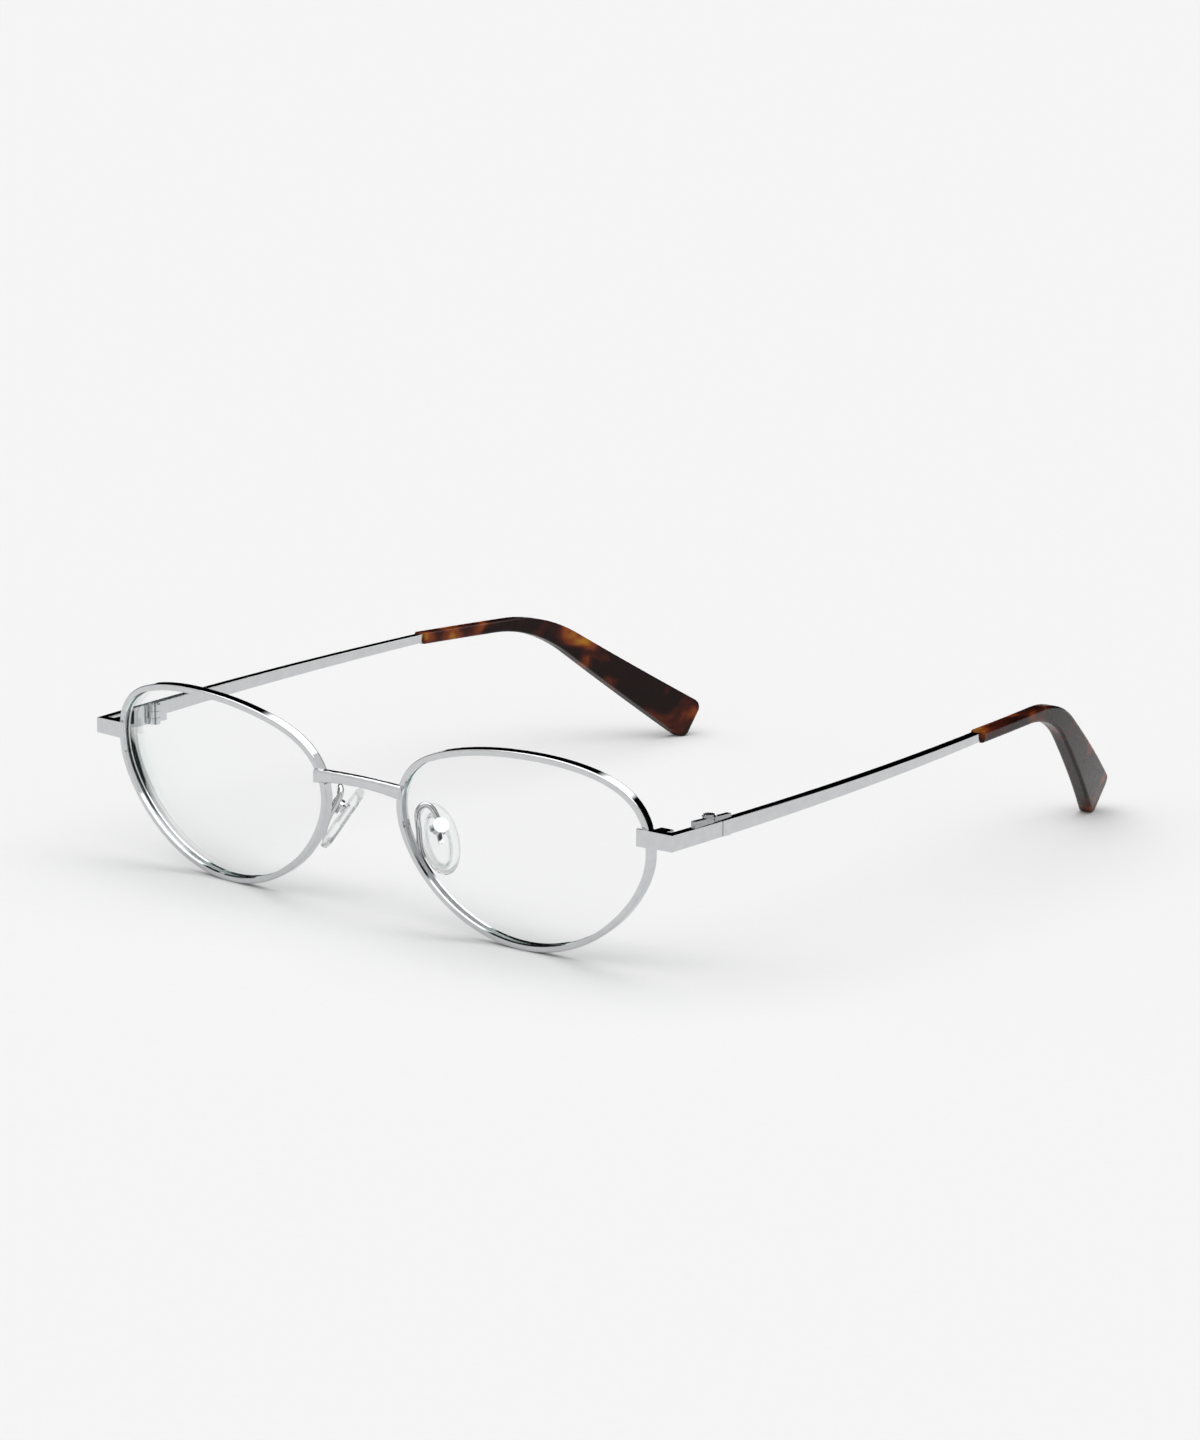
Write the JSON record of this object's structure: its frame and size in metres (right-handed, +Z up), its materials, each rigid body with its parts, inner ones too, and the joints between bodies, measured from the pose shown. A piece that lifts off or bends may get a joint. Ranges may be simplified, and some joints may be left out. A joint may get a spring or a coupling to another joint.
{
  "type": "eyeglasses",
  "caption": "Oval full-rim metal eyeglasses with an arched bridge, clear lenses and pads, and folding temples that end in drop-shaped tortoise tips.",
  "frame": {"origin": "middle of the underside: the plane the rims' lowest points and the tips' lower corners rest on, halfway between the front of the bridge and the ends of the tips", "axes": "+X across the face towards the wearer's left, +Y back along the open temples, +Z up"},
  "size_m": [0.1364, 0.154, 0.0347],
  "materials": {
    "chrome_metal": "bright polished plated metal",
    "steel_screw": "bright turned steel",
    "clear_lens": "clear, anti-reflection coated",
    "clear_silicone": "clear soft silicone, satin",
    "tortoise_acetate": "dark tortoise pattern, polished"
  },
  "bodies": {
    "front": {"bridge": "chrome_metal", "end_piece_left": "chrome_metal", "end_piece_right": "chrome_metal", "hinge_front_leaf_left": "chrome_metal", "hinge_front_leaf_right": "chrome_metal", "hinge_screw_left": "steel_screw", "hinge_screw_right": "steel_screw", "lens_left": "clear_lens", "lens_right": "clear_lens", "lock_lower_left": "chrome_metal", "lock_lower_right": "chrome_metal", "lock_screw_left": "steel_screw", "lock_screw_right": "steel_screw", "lock_upper_left": "chrome_metal", "lock_upper_right": "chrome_metal", "pad_arm_left": "chrome_metal", "pad_arm_right": "chrome_metal", "pad_box_left": "chrome_metal", "pad_box_right": "chrome_metal", "pad_pin_left": "steel_screw", "pad_pin_right": "steel_screw", "rim_left": "chrome_metal", "rim_right": "chrome_metal"},
    "temple_left": {"temple_left": "chrome_metal", "temple_tip_left": "tortoise_acetate", "hinge_temple_leaf_left": "chrome_metal"},
    "temple_right": {"temple_right": "chrome_metal", "temple_tip_right": "tortoise_acetate", "hinge_temple_leaf_right": "chrome_metal"},
    "pad_left": {"nose_pad_left": "clear_silicone", "pad_tab_left": "chrome_metal"},
    "pad_right": {"nose_pad_right": "clear_silicone", "pad_tab_right": "chrome_metal"}
  },
  "joints": [
    {"name": "temple_left_hinge", "type": "hinge", "parent": "front", "child": "temple_left", "pos_m": [-0.06419, -0.06135, 0.02407], "axis": [0, 0, -1], "range_deg": [0, 86]},
    {"name": "temple_right_hinge", "type": "hinge", "parent": "front", "child": "temple_right", "pos_m": [0.06419, -0.06135, 0.02407], "axis": [0, 0, 1], "range_deg": [0, 82]},
    {"name": "pad_left_rock", "type": "hinge", "parent": "front", "child": "pad_left", "pos_m": [-0.0118, -0.06819, 0.01643], "axis": [-0.5167, 0.8531, 0.0723], "range_deg": [-10, 10]},
    {"name": "pad_right_rock", "type": "hinge", "parent": "front", "child": "pad_right", "pos_m": [0.0118, -0.06819, 0.01643], "axis": [0.5167, 0.8531, 0.0723], "range_deg": [-10, 10]}
  ]
}
